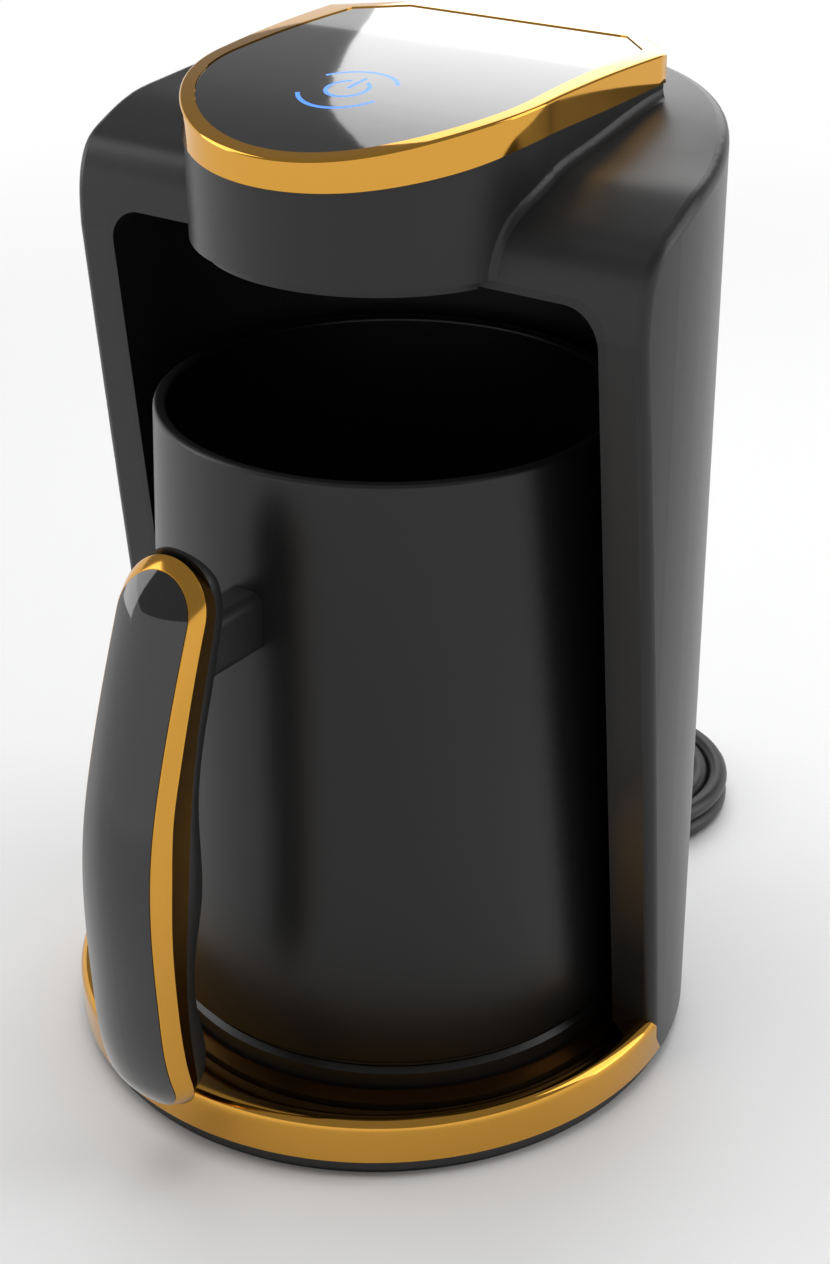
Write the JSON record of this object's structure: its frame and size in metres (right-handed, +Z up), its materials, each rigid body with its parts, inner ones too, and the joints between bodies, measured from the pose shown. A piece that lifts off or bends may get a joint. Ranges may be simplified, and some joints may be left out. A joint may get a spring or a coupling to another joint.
{
  "type": "electric turkish coffee maker",
  "caption": "Electric coffee maker with a round tower, open alcove, overhanging touch-panel head, gilt base ring and a lift-out jug with a layered upright handle",
  "frame": {"origin": "centre of the tower's circle on the surface it stands on", "axes": "+X to the object's left side seen from behind it (the viewer's right when facing the front), +Y to the back, +Z up; the front with the handle faces -Y"},
  "size_m": [0.1798, 0.2746, 0.1968],
  "materials": {
    "soft_black": "soft-touch satin",
    "pot_black": "satin",
    "gilt": "gold-coloured plated plastic, mirror bright",
    "gloss_black": "polished",
    "symbol_blue": "lit window",
    "foot_rubber": "matt",
    "inner_black": "matt",
    "contact_brass": "plain",
    "steel": "brushed",
    "alloy": "plain",
    "seal_grey": "matt silicone",
    "board_green": "matt",
    "part_grey": "matt",
    "wire_red": "matt",
    "cord_black": "matt",
    "window_clear": "clear",
    "pin_chrome": "nickel plated"
  },
  "bodies": {
    "machine": {"rubber_foot_ring": "foot_rubber", "base_pan": "inner_black", "base_screws": "steel", "base_ring": "gilt", "pot_seat": "soft_black", "base_connector": "inner_black", "base_contacts": "contact_brass", "shutter_spring": "steel", "terminal_block": "part_grey", "wiring_harness": "wire_red", "harness_socket": "part_grey", "body_shell": "soft_black", "alcove_liner": "soft_black", "head_floor": "soft_black", "sensor_window": "window_clear", "boil_sensor": "part_grey", "head_trim": "gilt", "touch_panel": "gloss_black", "power_symbol": "symbol_blue", "touch_board": "board_green", "touch_spacers": "inner_black", "touch_spring": "steel", "status_leds": "window_clear", "control_board": "board_green", "board_spacers": "inner_black", "board_screws": "steel", "relay": "part_grey", "capacitor": "alloy", "buzzer": "inner_black", "cord_gland": "cord_black", "cord_lead": "cord_black", "cord_coil": "cord_black", "cord_tail": "cord_black", "mains_plug": "cord_black", "plug_pins": "pin_chrome"},
    "shutter": {"shutter_ring": "inner_black"},
    "pot": {"pot_body": "pot_black", "pot_base_cap": "inner_black", "cap_screws": "steel", "pot_seal": "seal_grey", "heater_plate": "steel", "heating_element": "alloy", "pot_thermostat": "part_grey", "pot_connector": "inner_black", "pot_contacts": "contact_brass", "handle_shell": "gloss_black", "handle_band": "gilt", "handle_grip": "soft_black", "handle_neck": "soft_black", "handle_screws": "steel"}
  },
  "joints": [
    {"name": "pot_swivel", "type": "hinge", "parent": "machine", "child": "shutter", "pos_m": [0, 0.0055, 0], "axis": [0, 0, 1], "range_deg": [-60, 60]},
    {"name": "pot_lift", "type": "slide", "parent": "shutter", "child": "pot", "axis": [0, 0, 1], "range_m": [0, 0.026]}
  ]
}
